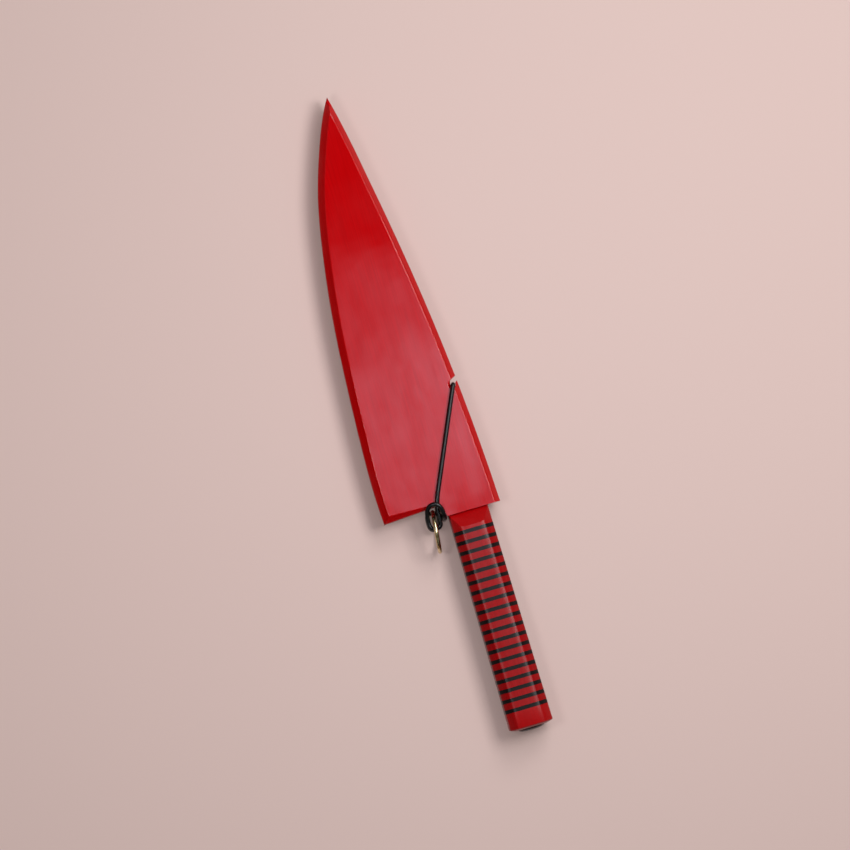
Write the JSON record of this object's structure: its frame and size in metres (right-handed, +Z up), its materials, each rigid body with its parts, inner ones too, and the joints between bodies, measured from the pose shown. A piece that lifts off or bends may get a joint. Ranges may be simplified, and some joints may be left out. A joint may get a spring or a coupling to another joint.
{
  "type": "knife blade guard",
  "caption": "Bevelled two-part wooden blade guard on a kitchen knife with a stacked eight-sided handle, held by an elastic cord with a ring.",
  "frame": {"origin": "on the surface that the knife lies on, under the middle of the footprint", "axes": "+X from the cutting edge to the spine, +Y from the butt to the guard's tip, +Z up out of the front face"},
  "size_m": [0.0632, 0.3524, 0.0247],
  "materials": {
    "guard_wood": "satin clear lacquer over red-stained wood",
    "blade_steel": "satin, ground across",
    "handle_block": "polished red-dyed wood",
    "black_spacer": "polished",
    "red_spacer": "polished red-dyed wood",
    "dark_steel": "blackened, satin",
    "elastic_cord": "smooth",
    "ring_brass": "polished"
  },
  "bodies": {
    "guard": {"guard_front_half": "guard_wood", "guard_rear_half": "guard_wood"},
    "knife": {"blade": "blade_steel", "handle_front_block": "handle_block", "black_ring_01": "black_spacer", "red_ring_01": "red_spacer", "black_ring_02": "black_spacer", "red_ring_02": "red_spacer", "black_ring_03": "black_spacer", "red_ring_03": "red_spacer", "black_ring_04": "black_spacer", "red_ring_04": "red_spacer", "black_ring_05": "black_spacer", "red_ring_05": "red_spacer", "black_ring_06": "black_spacer", "red_ring_06": "red_spacer", "black_ring_07": "black_spacer", "red_ring_07": "red_spacer", "black_ring_08": "black_spacer", "red_ring_08": "red_spacer", "black_ring_09": "black_spacer", "red_ring_09": "red_spacer", "black_ring_10": "black_spacer", "red_ring_10": "red_spacer", "black_ring_11": "black_spacer", "red_ring_11": "red_spacer", "black_ring_12": "black_spacer", "red_ring_12": "red_spacer", "black_ring_13": "black_spacer", "red_ring_13": "red_spacer", "black_ring_14": "black_spacer", "red_ring_14": "red_spacer", "black_ring_15": "black_spacer", "red_ring_15": "red_spacer", "black_ring_16": "black_spacer", "red_ring_16": "red_spacer", "black_ring_17": "black_spacer", "red_ring_17": "red_spacer", "black_ring_18": "black_spacer", "red_ring_18": "red_spacer", "black_ring_19": "black_spacer", "handle_end_block": "handle_block", "pommel_nut": "dark_steel"},
    "loop": {"elastic_loop": "elastic_cord"},
    "ring": {"brass_ring": "ring_brass"}
  },
  "joints": [
    {"name": "knife_draw", "type": "slide", "parent": "guard", "child": "knife", "axis": [0, -1, 0], "range_m": [0, 0.225]},
    {"name": "loop_unhook", "type": "hinge", "parent": "knife", "child": "loop", "pos_m": [-0.00498, -0.0533, 0.012], "axis": [0, 0, -1], "range_deg": [0, 14], "deforming": ["elastic_loop"]},
    {"name": "ring_swing", "type": "hinge", "parent": "knife", "child": "ring", "pos_m": [-0.00498, -0.0533, 0.012], "axis": [0, 0, 1], "range_deg": [-20, 15]}
  ]
}
